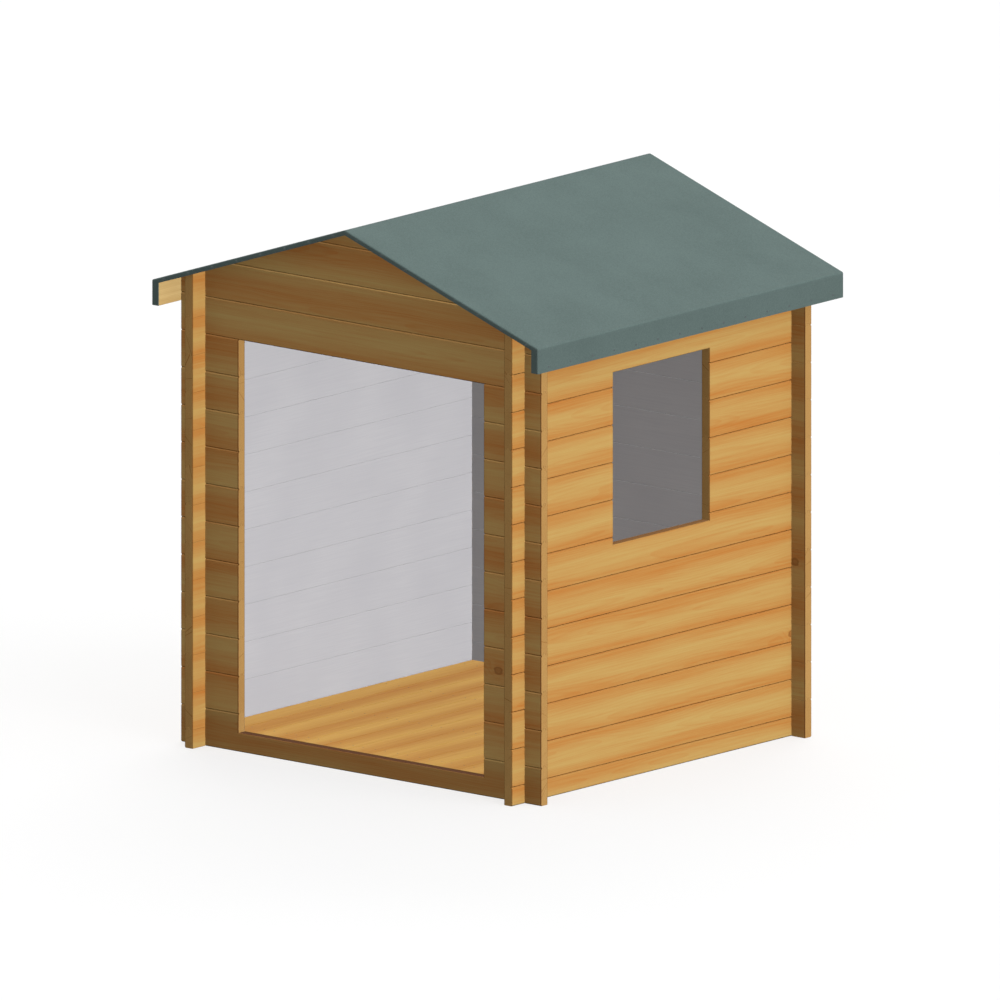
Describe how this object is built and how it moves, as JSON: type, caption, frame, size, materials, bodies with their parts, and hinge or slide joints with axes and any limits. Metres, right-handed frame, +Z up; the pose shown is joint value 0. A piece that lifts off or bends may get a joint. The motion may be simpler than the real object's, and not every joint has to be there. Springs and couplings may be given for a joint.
{
  "type": "log cabin",
  "caption": "Small square log cabin with interlocked tongued logs, an open doorway in the gable front, a side window opening, a boarded floor and a felted ridge roof.",
  "frame": {"origin": "centre of the cabin's plan on the ground", "axes": "+Z up, -Y out of the doorway, +X towards the wall with the window"},
  "size_m": [2.124, 1.99, 2.3546],
  "materials": {
    "log_timber": "stained softwood outside, pale grey paint on the inner faces",
    "floor_timber": "planed softwood boards",
    "roof_timber": "planed softwood",
    "roofing_felt": "grey-green mineral granules"
  },
  "bodies": {
    "root": {"front_sill_log": "log_timber", "front_left_odd_logs": "log_timber", "front_left_even_logs": "log_timber", "front_right_odd_logs": "log_timber", "front_right_even_logs": "log_timber", "front_header_log": "log_timber", "front_gable_odd_logs": "log_timber", "front_gable_even_logs": "log_timber", "back_odd_logs": "log_timber", "back_even_logs": "log_timber", "back_gable_odd_logs": "log_timber", "back_gable_even_logs": "log_timber", "left_half_log": "log_timber", "left_odd_logs": "log_timber", "left_even_logs": "log_timber", "left_wall_plate": "log_timber", "right_half_log": "log_timber", "right_odd_logs": "log_timber", "right_even_logs": "log_timber", "right_window_sill_log": "log_timber", "right_window_front_odd_logs": "log_timber", "right_window_front_even_logs": "log_timber", "right_window_back_odd_logs": "log_timber", "right_window_back_even_logs": "log_timber", "right_window_head_log": "log_timber", "right_wall_plate": "log_timber", "floor_bearers": "roof_timber", "floor": "floor_timber", "ridge_purlin": "roof_timber", "left_roof_boards": "roof_timber", "right_roof_boards": "roof_timber", "left_fascia": "roof_timber", "right_fascia": "roof_timber", "roof_felt": "roofing_felt"}
  },
  "joints": []
}
